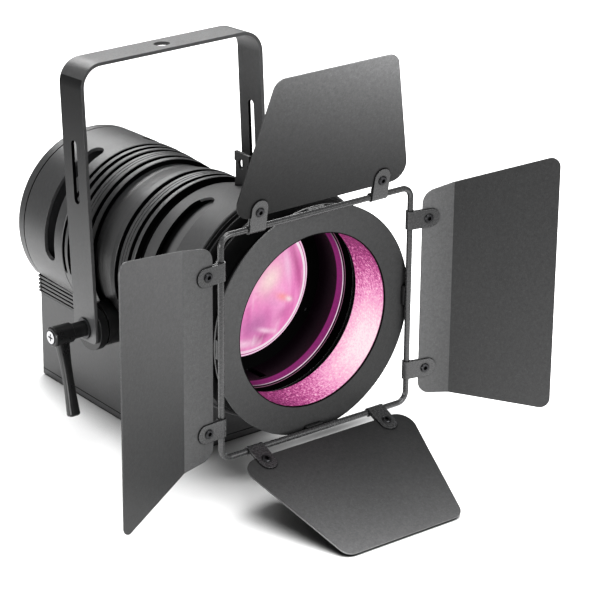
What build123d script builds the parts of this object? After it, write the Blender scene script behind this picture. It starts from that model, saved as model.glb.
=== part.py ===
from build123d import *
import math
import os

# Theatre LED spotlight with a lens, a yoke, two clamp levers and four barn-door flaps.
# Millimetres. +Z is up, the lamp points along -Y, X runs across the lamp.
# The origin is the centre of the rest face under the base.
# Stations (st) are distances rearward from the plane of the barn-door rod frame.

# ---------------------------------------------------------------- driving dimensions
AXIS_Z = 145.3          # height of the lamp axis above the rest face
ROD_PLANE = 215.5       # distance from the rod-frame plane to the base centre
ROD_HALF = 95.0         # half the side of the rod frame, to the rod centre
ROD_R = 2.5             # rod radius
ROD_BEND = 9.0          # bend radius of the rod frame corners
RING_ST = 4.2           # front face of the barn-door ring plate
RING_R = 98.0           # outside radius of the ring plate
RING_BORE = 73.5        # radius of the ring opening
NECK_END = 43.4         # rear end of the barn-door neck tube
FLANGE_ST = 33.2        # front face of the barn-door flange
FLANGE_R = 95.5
SHELL_F_ST, SHELL_F_R = 51.9, 100.2     # front edge of the conical front shell
SHELL_K_ST, SHELL_K_R = 140.6, 76.4     # rear edge of the conical front shell
REAR_ST, REAR_R = 254.0, 78.6           # front edge of the rear drum
CAP_ST = 316.3          # joint between rear drum and rear cap
REAR_END, REAR_END_R = 326.0, 76.6      # rear end of the cap
BASE_HALF = 58.4        # half width of the base box
BASE_F, BASE_R_ST = 109.0, 322.0        # front and rear faces of the base box
SHOULDER_HALF = 61.0    # half width of the grooved shoulders
PIVOT_ST, PIVOT_Z = 199.2, 95.3         # tilt axis: station and height above the rest face
YOKE_LEAN = -3.7        # lean of the yoke about X at rest, rearward
YOKE_OUT = 92.4         # half width over the yoke legs
YOKE_T = 3.0            # bar thickness
YOKE_W = 32.5           # bar width
YOKE_RISE = 230.2       # tilt axis to the top of the bar
YOKE_HOLE_R = 7.0       # hanging hole radius
YOKE_BOTTOM = 11.5      # leg below the tilt axis
STUD_R = 4.0
RUN = 0.05              # running clearance on radius
ANG_TOP, ANG_BOTTOM = 9.6, 67.0         # flap angles forward of the rod plane
ANG_LEFT, ANG_RIGHT = 3.1, 11.0
FOLD = 20.0             # fold of the side flaps
SHEET = 1.2             # flap and clip sheet
LENS_R = 63.5
LENS_ST = 92.4          # visible rim of the lens
PARTS = {}


def Y(st):
    return st - ROD_PLANE


def keep(name, shape):
    solids = shape.solids()
    PARTS[name] = solids[0] if len(solids) == 1 else Compound(children=list(solids))


def lathe(points):
    """Solid of revolution about the lamp axis from (station, radius) points."""
    face = make_face(Polyline(*[(r, Y(st)) for st, r in points], close=True))
    return Pos(0, 0, AXIS_Z) * revolve(face, Axis.Y, 360)


def ring(st0, st1, r_out, r_in=0.0):
    body = Cylinder(r_out, st1 - st0)
    if r_in > 0:
        body -= Cylinder(r_in, st1 - st0 + 2)
    return Pos(0, Y((st0 + st1) / 2), AXIS_Z) * Rot(90, 0, 0) * body


def sector(st0, st1, r0, r1, a0, a1):
    """Ring sector about the lamp axis; angles in degrees from +X towards +Z."""
    face = make_face(Polyline((r0, Y(st0)), (r1, Y(st0)), (r1, Y(st1)), (r0, Y(st1)), close=True))
    return Pos(0, 0, AXIS_Z) * (Rot(0, -a1, 0) * revolve(face, Axis.Y, a1 - a0))


def radial(st, angle, r0, r1, rad):
    """Cylinder standing radially from the lamp axis."""
    c = Pos((r0 + r1) / 2, Y(st), 0) * Rot(0, 90, 0) * Cylinder(rad, r1 - r0)
    return Pos(0, 0, AXIS_Z) * (Rot(0, -angle, 0) * c)


def arc_slot(st0, st1, r0, r1, a0, a1, ends=(True, True)):
    """Arc slot with rounded ends."""
    cut = sector(st0, st1, r0, r1, a0, a1)
    w = (st1 - st0) / 2
    for a, wanted in ((a0, ends[0]), (a1, ends[1])):
        if wanted:
            cut += radial((st0 + st1) / 2, a, r0, r1, w - 0.01)
    return cut


def along_y(st0, st1, x, z, rad):
    return Pos(x, Y((st0 + st1) / 2), z) * Rot(90, 0, 0) * Cylinder(rad, st1 - st0)


def along_x(x0, x1, y, z, rad):
    return Pos((x0 + x1) / 2, y, z) * Rot(0, 90, 0) * Cylinder(rad, abs(x1 - x0))


def block(x0, x1, st0, st1, z0, z1):
    return Pos((x0 + x1) / 2, Y((st0 + st1) / 2), (z0 + z1) / 2) * Box(x1 - x0, st1 - st0, z1 - z0)


def polar(r, angle):
    a = math.radians(angle)
    return r * math.cos(a), AXIS_Z + r * math.sin(a)


# ---------------------------------------------------------------- front shell
SLOPE = (SHELL_F_R - SHELL_K_R) / (SHELL_K_ST - SHELL_F_ST)


def cone_r(st):
    return SHELL_F_R - SLOPE * (st - SHELL_F_ST)


front = lathe([
    (51.9, 78.0), (51.9, 99.4), (52.7, cone_r(52.7)), (140.6, 76.4), (140.6, 73.9), (138.0, 74.4),
    (54.6, 96.6), (54.6, 80.2), (62.0, 80.2), (62.0, 78.0),
])
# gill openings on both flanks
for a0, a1 in ((119.3, 187.2), (-7.2, 60.7)):
    front -= arc_slot(89.5, 121.0, 70, 110, a0, a1)
# slot for the focus knob stem, under the shell
front -= block(-3.2, 3.2, 71.0, 104.6, AXIS_Z - 104, AXIS_Z - 70)
front -= along_y(50, 56, *polar(88.5, 45), 1.6)
for a in (135, 225, 315):
    front -= along_y(50, 56, *polar(88.5, a), 1.6)
keep("front_shell", front)

# gill deflector, a dark cone seen through the gill openings
gill = lathe([(91.0, cone_r(91.0) - 3.2), (119.5, 75.7), (131.0, 75.7), (131.0, 74.7), (118.8, 74.7), (90.3, cone_r(91.0) - 4.2)])
gill -= block(-3.6, 3.6, 87.0, 105.0, AXIS_Z - 104, AXIS_Z - 70)

# ---------------------------------------------------------------- centre shell
MID_IN = 70.0
mid_pts = [
    (140.7, MID_IN), (140.7, 72.6), (148.4, 72.6), (148.4, 79.0), (149.0, 79.3), (152.6, 79.0),
    (152.7, 78.9), (157.6, 78.9), (158.0, 78.4), (168.6, 78.4), (169.0, 78.2), (174.4, 78.2), (174.8, 78.4),
    (181.0, 77.7), (190.0, 75.9), (200.0, 73.6), (209.1, 72.4), (211.3, 72.6), (211.5, 76.4), (212.2, 76.8),
    (216.5, 76.9), (221.3, 76.9), (221.7, 77.4), (232.6, 77.6), (237.0, 77.6), (237.4, 78.2), (240.9, 78.3),
    (246.2, 78.3), (249.6, 78.4), (253.9, 78.4), (253.9, MID_IN),
]
mid = lathe(mid_pts)
for s0, s1 in ((152.9, 157.5), (168.9, 174.2), (216.7, 221.2), (233.0, 236.9), (241.1, 245.9), (249.8, 253.95)):
    mid -= arc_slot(s0, s1, MID_IN - 2, 84, -14, 194)
# shallow ribs on the bands
for s in (161.4, 164.9, 225.2, 228.8):
    mid -= ring(s, s + 0.7, 84, 77.2)
mid -= Pos(0, Y(196), AXIS_Z - 72) * Cylinder(9, 16)
keep("mid_shell", mid)

# ---------------------------------------------------------------- rear shell with grooved shoulders
Z_G = AXIS_Z - 47.0
rear = lathe([(254.0, 74.6), (254.0, 78.2), (254.5, 78.6), (CAP_ST, 76.9), (CAP_ST, 74.6)])
sh = block(-SHOULDER_HALF, SHOULDER_HALF, 254.0, 322.0, AXIS_Z - 66.0, AXIS_Z - 40.0)
sh -= block(-70, 70, CAP_ST, 325, Z_G - 0.5, AXIS_Z)
rear += sh
rear -= ring(250, CAP_ST + 0.001, 74.6)
rear -= block(-BASE_HALF + 0.2, BASE_HALF - 0.2, 253, 314.0, AXIS_Z - 90, AXIS_Z - 46)
rear -= block(-80, 80, 250, 330, AXIS_Z - 90, AXIS_Z - 66)
rear -= block(-BASE_HALF + 0.2, BASE_HALF - 0.2, 253, 319.6, AXIS_Z - 67, AXIS_Z - 50)
for z in (47.6, 51.2, 54.8, 58.4, 62.0):
    zz = AXIS_Z - z
    g = block(-70, 70, 264.0, 330, zz - 0.75, zz + 0.75) - block(-SHOULDER_HALF + 1.5, SHOULDER_HALF - 1.5, 260, 320.6, zz - 2, zz + 2)
    rear -= g
for sx in (-1, 1):
    wedge = Polyline((sx * 61.2, AXIS_Z - 63.4), (sx * 61.2, AXIS_Z - 66.2), (sx * 58.2, AXIS_Z - 66.2), close=True)
    rear -= Pos(0, Y(330), 0) * extrude(Plane.XZ * make_face(wedge), 80)
for a0, a1 in ((107.0, 191.0), (-11.0, 73.0)):
    rear -= arc_slot(266.5, 282.5, 72, 84, a0 + 5, a1 - 5)
keep("rear_shell", rear)

# ---------------------------------------------------------------- rear cap
cap = lathe([
    (CAP_ST + 0.1, 72.0), (CAP_ST + 0.1, 75.2), (317.4, 75.2), (317.4, 76.7), (325.6, 76.6), (327.8, 75.6), (328.8, 73.4), (328.8, 0),
    (326.2, 0), (326.2, 72.0),
])
cap -= block(-90, 90, 310, 334, 0, Z_G - 0.3)
for r0, r1 in ((18, 22), (27, 31), (36, 40)):
    for k in range(4):
        cap -= sector(325, 331, r0, r1, 90 * k + 8, 90 * k + 82)
for r in (46, 52, 58, 64):
    cap -= sector(325, 331, r, r + 3.2, 62, 118)
    cap -= sector(325, 331, r, r + 3.2, 152, 200)
    cap -= sector(325, 331, r, r + 3.2, -20, 28)
FAN_PITCH = 41.25
for sx in (-1, 1):
    for sz in (-1, 1):
        if sz > 0:
            cap += along_y(309.4, 326.4, sx * FAN_PITCH, AXIS_Z + sz * FAN_PITCH, 4.0)
keep("rear_cap", cap)

# ---------------------------------------------------------------- base box, plate and pad
Z_SEAM = 6.2            # seam between the base plate and the box
box = block(-BASE_HALF, BASE_HALF, BASE_F, BASE_R_ST, Z_SEAM, AXIS_Z - 66.1)
box += block(-BASE_HALF, BASE_HALF, BASE_F, 253.8, AXIS_Z - 66.2, AXIS_Z - 47.5)
box -= block(-BASE_HALF + 2, BASE_HALF - 2, BASE_F + 2, BASE_R_ST - 2, Z_SEAM - 1, AXIS_Z)
env = lathe([(60, 0), (60, 98.1), (140.6, 76.5), (146.0, 77.5), (148.3, 79.4), (153, 79.4), (175.0, 78.5), (181.0, 77.8), (190.0, 76.0), (200.0, 73.7),
             (209.1, 72.5), (211.2, 72.7), (211.4, 76.9), (222, 77.5), (237, 78.4), (254.5, 78.8), (254.5, 0)])
box -= env
box -= block(-51.0, 51.0, 318, 326, 12.0, 74.0)      # rear panel opening
box = fillet(box.edges().filter_by(Axis.Z).filter_by(lambda e: e.center().Y < Y(BASE_F) + 0.01 and abs(e.center().X) > BASE_HALF - 0.1), 2.0)
keep("base_box", box)

plate = block(-BASE_HALF, BASE_HALF, BASE_F, BASE_R_ST, 1.2, Z_SEAM - 0.05)
plate -= block(-BASE_HALF + 2, BASE_HALF - 2, BASE_F + 2, BASE_R_ST - 2, 2.8, 8)
plate = fillet(plate.edges().filter_by(Axis.Z).filter_by(lambda e: e.center().Y < Y(BASE_F) + 0.01 and abs(e.center().X) > BASE_HALF - 0.1), 2.0)
for sx in (-1, 1):
    for s in (119.0, 312.0):
        plate -= Pos(sx * 50, Y(s), 2) * Cylinder(1.7, 6)
plate_holes = [(sx * 50, s) for sx in (-1, 1) for s in (119.0, 312.0)]
keep("base_plate", plate)
pad = block(-46, 46, 124.5, 306.5, 0, 1.2)
pad = fillet(pad.edges().filter_by(Axis.Z), 6)
keep("base_pad", pad)

# ---------------------------------------------------------------- barrel, baffles, gill deflector
keep("inner_liner", ring(141.5, 213.0, 69.8, 68.0))
ROD_ANG = (90, 210, 330)
baffle = lathe([(63.8, 73.4), (60.4, 76.6), (60.4, 77.9), (63.6, 77.9), (63.6, 74.4), (133.0, 74.4), (136.4, 73.4), (136.4, 46.0), (134.0, 46.0), (134.0, 73.4)])
for a in ROD_ANG:
    baffle -= along_y(130, 140, *polar(69.3, a), 2.0)
baffle -= block(-3.2, 3.2, 71.0, 104.6, AXIS_Z - 80, AXIS_Z - 70)
keep("baffle_tube", baffle)
keep("gill_deflector", gill)
rods = Compound(children=[along_y(93.0, 136.4, *polar(69.3, a), 2.0) for a in ROD_ANG])
keep("guide_rods", rods)

# ---------------------------------------------------------------- lens carriage
car = lathe([(91.4, 61.4), (91.0, 62.0), (90.9, 73.2), (92.4, 73.2), (92.4, 66.2), (102.0, 66.2), (102.0, LENS_R + 0.05), (92.4, LENS_R + 0.05), (92.4, 61.4)])
for a in ROD_ANG:
    car += along_y(93.0, 120.0, *polar(69.3, a), 3.85) + sector(92.3, 102.0, 65.5, 69.5, a - 3, a + 3)
    car -= along_y(80, 125, *polar(69.3, a), 2.0 + RUN)
# boss that carries the focus knob stem
KNOB_ST = 95.6
car += sector(92.3, 99.6, 65.5, 72.6, 265, 275)
car -= Pos(0, Y(KNOB_ST), AXIS_Z - 71) * Cylinder(1.8 + RUN, 10)
keep("lens_carriage", car)

# plano-convex lens, domed to the front, held between the carriage seat and the retaining ring
SAG = 14.0              # height of the dome above its rim
RIM_ST = 92.45
DOME_R = (61.3 ** 2 + SAG ** 2) / (2 * SAG)
apex = RIM_ST - SAG
mid_r = 32.0
mid_s = apex + DOME_R - math.sqrt(DOME_R ** 2 - mid_r ** 2)
flat = Polyline((0, Y(apex)), (0, Y(98.4)), (LENS_R, Y(98.4)), (LENS_R, Y(RIM_ST)), (61.3, Y(RIM_ST)))
dome = ThreePointArc((61.3, Y(RIM_ST)), (mid_r, Y(mid_s)), (0, Y(apex)))
lens_face = make_face(Curve() + [flat, dome])
lens = Pos(0, 0, AXIS_Z) * revolve(lens_face, Axis.Y, 360)
keep("lens", lens)
keep("lens_ring", ring(98.5, 101.0, LENS_R, 59.0))

# focus knob: stem, lock thread and knurled head under the front shell
knob = Pos(0, Y(KNOB_ST), AXIS_Z - 86.0) * Cylinder(1.8, 38)
knob += Pos(0, Y(KNOB_ST), AXIS_Z - 106.5) * Cylinder(7.0, 12)
for k in range(18):
    a = math.radians(20 * k)
    knob -= Pos(7.2 * math.cos(a), Y(KNOB_ST) + 7.2 * math.sin(a), AXIS_Z - 106.5) * Cylinder(0.7, 14)
knob += Pos(0, Y(KNOB_ST), AXIS_Z - 99.4) * Cylinder(4.2, 2.4)
keep("zoom_knob", knob)

# ---------------------------------------------------------------- light engine and cooling
reflector = lathe([(144.0, 44.0), (152.0, 38.0), (159.0, 29.0), (165.0, 17.0), (166.2, 16.0), (166.2, 18.5), (160.0, 30.8), (153.0, 39.8), (145.6, 46.0), (141.6, 46.0), (141.6, 44.0)])
keep("reflector", reflector)
keep("led_board", ring(166.3, 168.0, 34.0))
led = ring(164.6, 166.3, 13.0)
for i in (-1, 0, 1):
    for j in (-1, 0, 1):
        led -= block(i * 6 - 2.6, i * 6 + 2.6, 164.0, 165.0, AXIS_Z + j * 6 - 2.6, AXIS_Z + j * 6 + 2.6)
keep("led_array", led)
sink = ring(168.0, 174.0, 67.4) - along_y(160, 180, 0, AXIS_Z - 52, 7)
fins = None
disc = ring(174.0, 281.0, 66.5)
for k in range(-7, 8):
    f = block(k * 8.6 - 1.1, k * 8.6 + 1.1, 174.0, 281.0, AXIS_Z - 70, AXIS_Z + 70)
    fins = f if fins is None else fins + f
sink += fins & disc
sink -= along_y(176, 283, 0, AXIS_Z, 12)
keep("heat_sink", sink)

FAN0, FAN1 = 284.0, 309.0
frame = block(-46, 46, FAN0, FAN1, AXIS_Z - 46, AXIS_Z + 46)
frame = fillet(frame.edges().filter_by(Axis.Y), 4)
frame += ring(FAN0 - 1.0, FAN0 + 1.0, 74.2)          # round plate that closes the drum round the fan
frame -= ring(FAN0 - 2, FAN1 - 4, 43.2)
hole = ring(FAN1 - 5, FAN1 + 1, 43.2) - ring(FAN1 - 5, FAN1 + 1, 18)
for a in (45, 135, 225, 315):
    x, z = polar(31, a)
    spoke = Pos(x, Y(FAN1 - 2), z) * Rot(0, -a, 0) * Box(30, 8, 4)
    hole -= spoke
frame -= hole
for sx in (-1, 1):
    for sz in (-1, 1):
        frame -= along_y(FAN0 - 2, FAN1 + 1, sx * FAN_PITCH, AXIS_Z + sz * FAN_PITCH, 2.2)
frame -= along_y(FAN1 - 9, FAN1 + 1, 0, AXIS_Z, 1.5 + RUN)
keep("fan_frame", frame)
rotor = ring(FAN0 + 1.5, FAN1 - 6.0, 18.0, 16.0) + ring(FAN0 + 1.5, FAN0 + 3.5, 18.0) + along_y(FAN0 + 2, FAN1 - 1.0, 0, AXIS_Z, 1.5)
for k in range(7):
    b = Pos(29.5, 0, 0) * Rot(38, 0, 0) * Box(24.5, 1.4, 22)
    rotor += Pos(0, Y((FAN0 + FAN1) / 2 - 1.5), AXIS_Z) * (Rot(0, k * 360 / 7, 0) * b)
rotor = rotor & ring(FAN0 + 0.8, FAN1 - 0.8, 42.0)
keep("fan_rotor", rotor)

# ---------------------------------------------------------------- electronics in the base
pcb = block(-48, 6, 128, 250, 9.0, 10.6)
pcb += block(-44, -16, 140, 176, 10.6, 34) + block(-8, 2, 196, 206, 10.6, 30)
for s in (190, 206, 222):
    pcb += Pos(-34, Y(s), 20.3) * Cylinder(6.5, 19.4)
pcb += block(-18, -12, 188, 236, 10.6, 36) + block(-44, -20, 236, 247, 10.6, 22)
for x, s in ((-45, 131), (3, 131), (-45, 247), (3, 247)):
    pcb += Pos(x, Y(s), 5.9) * Cylinder(3, 6.2)
keep("power_board", pcb)
drv = block(14, 50, 128, 250, 9.0, 10.6)
drv += block(20, 34, 150, 164, 10.6, 13) + block(18, 44, 184, 206, 10.6, 24) + block(24, 40, 222, 240, 10.6, 18)
for x, s in ((17, 131), (47, 131), (17, 247), (47, 247)):
    drv += Pos(x, Y(s), 5.9) * Cylinder(3, 6.2)
keep("control_board", drv)

# ---------------------------------------------------------------- rear panel and its fittings
panel = block(-50.9, 50.9, 320.2, 321.7, 12.1, 73.9)
Z_TOP_ROW, Z_LOW_ROW = 60.5, 30.0
panel -= block(-46, -8, 319, 323, Z_TOP_ROW - 6, Z_TOP_ROW + 6)
BUTTONS = [2.0, 14.5, 27.0, 39.5]
for x in BUTTONS:
    panel -= along_y(319, 323, x, Z_TOP_ROW, 3.2)
SOCKETS = [-37.5, -12.5, 12.5, 37.5]
for x in SOCKETS:
    panel -= along_y(319, 323, x, Z_LOW_ROW, 10.6)
PANEL_SCREWS = ((-47.8, 71.0), (47.8, 71.0), (-47.8, 48.4), (47.8, 48.4))
for x, z in PANEL_SCREWS:
    panel -= along_y(319, 323, x, z, 1.6)
keep("rear_panel", panel)
win = block(-45.9, -8.1, 319.0, 322.2, Z_TOP_ROW - 5.9, Z_TOP_ROW + 5.9) + block(-48.5, -5.5, 317.0, 320.1, Z_TOP_ROW - 8, Z_TOP_ROW + 8)
keep("display_window", win)
for i, x in enumerate(BUTTONS):
    b = along_y(318.2, 324.0, x, Z_TOP_ROW, 3.1) + along_y(316.4, 318.2, x, Z_TOP_ROW, 4.6)
    keep(f"menu_button_{i + 1}", b)


def socket(x, kind):
    body = along_y(303.0, 321.7, x, Z_LOW_ROW, 10.5)
    flange = block(x - 12.2, x + 12.2, 321.7, 323.4, Z_LOW_ROW - 14.5, Z_LOW_ROW + 14.5)
    flange = fillet(flange.edges().filter_by(Axis.Y), 3)
    s = body + flange
    for sx, sz in ((-1, 1), (1, -1)):
        s -= along_y(320, 325, x + sx * 9.0, Z_LOW_ROW + sz * 11.4, 1.55)
    if kind == "pins":
        s -= along_y(309, 325, x, Z_LOW_ROW, 8.9)
        for a in (30, 150, 270):
            q = math.radians(a)
            s += along_y(308.5, 320.5, x + 4.6 * math.cos(q), Z_LOW_ROW + 4.6 * math.sin(q), 1.15)
    elif kind == "holes":
        s -= along_y(320.4, 325, x, Z_LOW_ROW, 9.2)
        s += along_y(319, 323.0, x, Z_LOW_ROW, 7.6)
        for a in (90, 210, 330):
            q = math.radians(a)
            s -= along_y(311, 325, x + 4.6 * math.cos(q), Z_LOW_ROW + 4.6 * math.sin(q), 1.3)
        s += block(x - 2.5, x + 2.5, 322.8, 324.0, Z_LOW_ROW + 10.2, Z_LOW_ROW + 13.4)
    else:
        s -= along_y(309, 325, x, Z_LOW_ROW, 9.3)
        s += along_y(308.5, 321.0, x, Z_LOW_ROW, 4.4 if kind == "power_in" else 5.4)
        for a in (90, 210, 330):
            s += sector_at(x, Z_LOW_ROW, 308.5, 322.6, 7.6, 9.6, a + (0 if kind == "power_in" else 60) - 12, a + (0 if kind == "power_in" else 60) + 12)
    return s


def sector_at(x, z, st0, st1, r0, r1, a0, a1):
    face = make_face(Polyline((r0, Y(st0)), (r1, Y(st0)), (r1, Y(st1)), (r0, Y(st1)), close=True))
    return Pos(x, 0, z) * (Rot(0, -a1, 0) * revolve(face, Axis.Y, a1 - a0))


keep("data_inlet", socket(SOCKETS[0], "pins"))
keep("data_outlet", socket(SOCKETS[1], "holes"))
keep("power_inlet", socket(SOCKETS[2], "power_in"))
keep("power_outlet", socket(SOCKETS[3], "power_out"))


def screw(st_head, direction, x, z, r_head=2.9, h=1.6, shank=6.0, r=1.5):
    """Pan-head screw along Y; direction +1 has the head facing rearward."""
    d = direction
    head = along_y(min(st_head, st_head + d * h), max(st_head, st_head + d * h), x, z, r_head)
    body = along_y(min(st_head - d * shank, st_head), max(st_head - d * shank, st_head), x, z, r)
    s = head + body
    for a in (0, 90):
        s -= Pos(x, Y(st_head + d * h), z) * Rot(0, a, 0) * Box(3.4, 1.4, 0.8)
    return s


screws = []
for x, z in PANEL_SCREWS:
    screws.append(screw(321.7, 1, x, z, r_head=2.6, shank=2.9))
for x, s in plate_holes:
    body = Pos(x, Y(s), 3.4) * Cylinder(1.5, 5.2) + Pos(x, Y(s), 0.6) * Cylinder(2.6, 1.1)
    screws.append(body)
for i, x in enumerate(SOCKETS):
    for sx, sz in ((-1, 1), (1, -1)):
        screws.append(screw(323.4, 1, x + sx * 9.0, Z_LOW_ROW + sz * 11.4, r_head=2.4, h=1.2, shank=1.6, r=1.45))
keep("case_screws", Compound(children=screws))

# ---------------------------------------------------------------- accessory holder
hold = ring(50.2, 51.8, 97.0, 80.4) + ring(44.6, 46.0, 97.0, 79.0)
for a in (45, 135, 225, 315):
    hold += along_y(46.0, 50.2, *polar(88.5, a), 3.4)
    hold += along_y(51.7, 54.8, *polar(88.5, a), 1.5)
for a in (210, 330):
    hold += sector(30.0, 51.8, 96.8, 98.4, a - 14, a + 14)
    hold += sector(30.0, 31.4, 88.5, 98.4, a - 14, a + 14)
    hold += sector(36.2, 37.6, 88.5, 98.4, a - 14, a + 14)
PIN_ST, PIN_Z = 49.0, AXIS_Z + 100.2
for sx in (-1, 1):
    ear = block(min(sx * 13.4, sx * 16.0), max(sx * 13.4, sx * 16.0), 44.6, 51.8, AXIS_Z + 94.0, AXIS_Z + 103.2)
    hold += ear
hold -= along_x(-20, 20, Y(PIN_ST), PIN_Z, 1.5 + RUN)
keep("accessory_holder", hold)
latch = block(-12, 12, 30.0, 49.0, PIN_Z - 0.9, PIN_Z + 0.9) + block(-12, 12, 30.0, 31.4, AXIS_Z + 90.0, PIN_Z + 0.9)
latch += along_x(-12, 12, Y(PIN_ST), PIN_Z, 2.4) + along_x(-15.9, 15.9, Y(PIN_ST), PIN_Z, 1.5)
latch += block(-7, 7, 26.4, 30.0, PIN_Z - 0.9, PIN_Z + 0.9)
keep("accessory_latch", latch)

# safety eye bracket on top of the front shell
eye = block(-1.5, 1.5, 92.0, 108.0, AXIS_Z + 84.0, AXIS_Z + 115.0)
eye += block(-1.5, 1.5, 90.2, 109.8, AXIS_Z + 107.0, AXIS_Z + 115.0)
eye += block(-1.5, 9.5, 91.0, 109.0, AXIS_Z + 84.0, AXIS_Z + 91.0)
eye -= lathe([(60, 0), (60, cone_r(60) + 0.02), (138, cone_r(138) + 0.02), (138, 0)])
eye -= block(1.5, 12, 88, 112, AXIS_Z + 91.0 - 1.0, AXIS_Z + 95)
eye -= along_x(-5, 5, Y(100.5), AXIS_Z + 105.5, 4.2)
keep("safety_eye", eye)

# ---------------------------------------------------------------- pivot bosses and friction discs
bosses, discs = [], []
PY = Y(PIVOT_ST)
for sx in (-1, 1):
    b = along_x(sx * 50.0, sx * 79.4, PY, PIVOT_Z, 19.0)
    b -= block(-BASE_HALF - 0.02, BASE_HALF + 0.02, 150, 250, 20, 200)
    b -= env
    b -= along_x(sx * 40, sx * 90, PY, PIVOT_Z, STUD_R + RUN)
    bosses.append(b)
    d = along_x(sx * 79.45, sx * 82.5, PY, PIVOT_Z, 17.0) + along_x(sx * 82.5, sx * 89.2, PY, PIVOT_Z, 20.5)
    d -= along_x(sx * 70, sx * 95, PY, PIVOT_Z, STUD_R + RUN)
    discs.append(d)
keep("pivot_bosses", Compound(children=[s for b in bosses for s in b.solids()]))
keep("friction_discs", Compound(children=[s for d in discs for s in d.solids()]))

# ---------------------------------------------------------------- yoke
IN = YOKE_OUT - YOKE_T
outer = RectangleRounded(2 * YOKE_OUT, 700, 20)
yoke_face = Pos(0, YOKE_RISE - 350) * outer - Pos(0, YOKE_RISE - YOKE_T - 350) * RectangleRounded(2 * IN, 700, 17)
yoke_face &= Pos(0, YOKE_RISE - (YOKE_RISE + YOKE_BOTTOM) / 2) * Rectangle(300, YOKE_RISE + YOKE_BOTTOM)
# local sketch x = X, y = height above the tilt axis
yoke = extrude(Plane(origin=(0, YOKE_W / 2, 0), x_dir=(1, 0, 0), z_dir=(0, -1, 0)) * yoke_face, YOKE_W)
yoke -= Pos(0, 0, YOKE_RISE) * Cylinder(YOKE_HOLE_R, 20)
legs = along_x(-120, 120, 0, 0, STUD_R + RUN)
yoke -= legs
slot = Pos(0, 0, 137.2) * Box(240, 8.0, 47.0) + along_x(-120, 120, 0, 137.2 + 23.5, 4.0) + along_x(-120, 120, 0, 137.2 - 23.5, 4.0)
yoke -= slot
corner = yoke.edges().filter_by(Axis.X).filter_by(lambda e: e.center().Z < -YOKE_BOTTOM + 0.1)
yoke = fillet(corner, 5.0)
yoke = Pos(0, PY, PIVOT_Z) * (Rot(YOKE_LEAN, 0, 0) * yoke)
keep("yoke", yoke)

# ---------------------------------------------------------------- clamp levers, one each side
LEVER_ANG = 17.0


def star(r_out, r_in, n, x0, x1):
    pts = []
    for k in range(2 * n):
        a = math.pi * k / n
        r = r_out if k % 2 == 0 else r_in
        pts.append((r * math.cos(a), r * math.sin(a)))
    face = make_face(Polyline(*pts, close=True))
    return Pos(x0, 0, 0) * (Rot(0, 90, 0) * extrude(face, x1 - x0))


washer = along_x(92.6, 94.0, 0, 0, 9.0) - along_x(90, 96, 0, 0, STUD_R + RUN)
stud = along_x(62.0, 95.4, 0, 0, STUD_R) + along_x(95.0, 105.0, 0, 0, 5.5) + star(5.5, 4.9, 16, 105.0, 109.0)
stud -= along_x(99.0, 112, 0, 0, 2.0)
lever = along_x(94.2, 108.5, 0, 0, 6.8) + along_x(107.6, 126.2, 0, 0, 8.6)
lever = chamfer(lever.edges().filter_by(GeomType.CIRCLE).filter_by(lambda e: abs(e.center().X - 126.2) < 0.01), 1.0)
direction = (0, -math.sin(math.radians(LEVER_ANG)), -math.cos(math.radians(LEVER_ANG)))
secs = []
for t, wx, wy, dx in ((2.0, 13.5, 10.5, 0.0), (14.0, 10.6, 9.2, 0.0), (36.0, 8.6, 8.4, 0.6), (58.0, 9.8, 8.8, 1.4), (70.0, 11.0, 9.4, 1.9)):
    pl = Plane(origin=(116.9 + dx, direction[1] * t, direction[2] * t), x_dir=(1, 0, 0), z_dir=direction)
    secs.append(pl * RectangleRounded(wx, wy, min(wx, wy) * 0.36))
handle = loft(Sketch() + secs)
try:
    tip = handle.faces().sort_by(lambda f: f.center().Z)[0]
    handle = fillet(tip.edges(), 2.4)
except Exception:
    pass
lever += handle
lever -= along_x(90, 105.15, 0, 0, 5.6)
lever -= star(5.6, 5.0, 16, 105.1, 109.3)
lever -= along_x(109.2, 110.0, 0, 0, 5.6)
lever -= along_x(108, 114, 0, 0, 2.3)
lever -= along_x(112.0, 130, 0, 0, 5.9)
cap_screw = along_x(125.2, 127.0, 0, 0, 5.6) + along_x(99.2, 125.4, 0, 0, 1.95)
for a in (0, 90):
    cap_screw -= Pos(127.0, 0, 0) * Rot(a, 0, 0) * Box(1.6, 6.4, 1.3)
coil = Helix(pitch=2.3, height=11.0, radius=4.5)
wire = sweep(Plane(origin=coil @ 0, z_dir=coil % 0) * Circle(0.45), path=coil)
spring = Pos(113.1, 0, 0) * (Rot(0, 90, 0) * wire)
put = Pos(0, PY, PIVOT_Z)
for side, flip in (("right", False), ("left", True)):
    for name, shape in (("clamp_washer", washer), ("clamp_stud", stud), ("clamp_lever", lever), ("clamp_spring", spring), ("clamp_screw", cap_screw)):
        placed = put * shape
        keep(f"{name}_{side}", mirror(placed, Plane.YZ) if flip else placed)

# ---------------------------------------------------------------- barn-door ring and rod frame
bd = ring(RING_ST, RING_ST + 1.5, RING_R, RING_BORE)
bd += ring(RING_ST + 1.0, NECK_END, 76.0, 74.6)
bd += ring(FLANGE_ST, FLANGE_ST + 1.5, FLANGE_R, 75.5)
for a in (0, 90, 180, 270):
    lug = block(-8, 8, 0.9, RING_ST + 0.2, AXIS_Z + 91.6, AXIS_Z + 97.6)
    lug -= Pos(0, Y(0), AXIS_Z + ROD_HALF) * Rot(0, 90, 0) * Cylinder(ROD_R, 30)
    bd += Pos(0, 0, AXIS_Z) * (Rot(0, a, 0) * (Pos(0, 0, -AXIS_Z) * lug))
keep("barndoor_ring", bd)

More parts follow.
